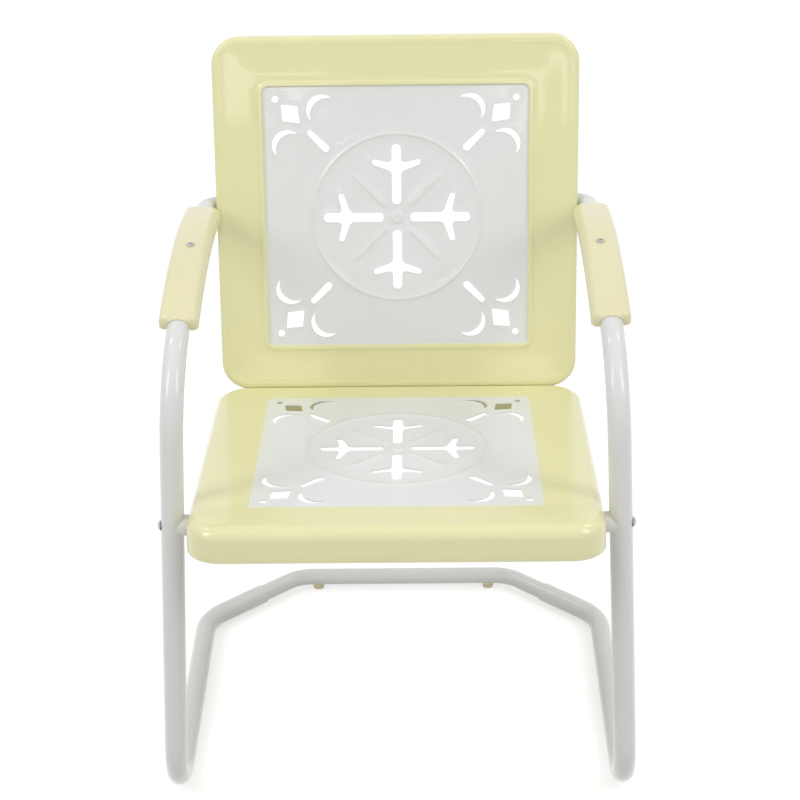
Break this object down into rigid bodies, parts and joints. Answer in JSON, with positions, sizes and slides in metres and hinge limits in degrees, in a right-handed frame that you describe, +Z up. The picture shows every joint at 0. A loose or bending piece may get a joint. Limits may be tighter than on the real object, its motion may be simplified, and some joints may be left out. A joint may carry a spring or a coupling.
{
  "type": "metal spring lawn chair",
  "caption": "Retro outdoor armchair of painted steel: pressed seat and back with a pierced pattern, bent tube frame with springy floor bends, sheet armrests.",
  "frame": {"origin": "centre of the bounding box's bottom face, on the floor under the middle of the chair", "axes": "+Z up, -Y the way the sitter faces, +X to the sitter's left"},
  "size_m": [0.5848, 0.6008, 0.8503],
  "materials": {
    "white_paint": "glossy enamel",
    "yellow_paint": "glossy enamel, with a white field sprayed in the middle of seat and back",
    "cream_paint": "glossy enamel",
    "zinc_steel": "dull zinc plating",
    "olive_plastic": "moulded plastic"
  },
  "bodies": {
    "base": {"floor_spring_left": "white_paint", "floor_spring_right": "white_paint", "runner_left": "white_paint", "runner_right": "white_paint", "rear_crossbar": "white_paint", "crossbar_screws": "zinc_steel", "crossbar_glide_left": "olive_plastic", "crossbar_glide_right": "olive_plastic"},
    "seat_unit": {"side_tube_left": "white_paint", "side_tube_right": "white_paint", "seat_spacers": "white_paint", "back_bracket_left": "white_paint", "back_bracket_right": "white_paint", "seat_pan": "yellow_paint", "back_panel": "yellow_paint", "seat_back_angle_left": "yellow_paint", "seat_back_angle_right": "yellow_paint", "armrest_left": "cream_paint", "armrest_right": "cream_paint", "armrest_screws": "zinc_steel", "seat_bolts": "zinc_steel", "seat_bolt_washers": "zinc_steel", "seat_bolt_nuts": "zinc_steel", "arm_bolts": "zinc_steel", "arm_bolt_washers": "zinc_steel", "arm_bolt_nuts": "zinc_steel", "angle_bolts": "zinc_steel", "angle_bolt_washers": "zinc_steel", "angle_bolt_nuts": "zinc_steel"}
  },
  "joints": [
    {"name": "spring_bounce", "type": "hinge", "parent": "base", "child": "seat_unit", "pos_m": [0, -0.1983, 0.0444], "axis": [-1, 0, 0], "range_deg": [-1, 4], "stiffness_Nm_per_rad": 4500, "springref_deg": -0.21, "deforming": ["floor_spring_left", "floor_spring_right"]}
  ]
}
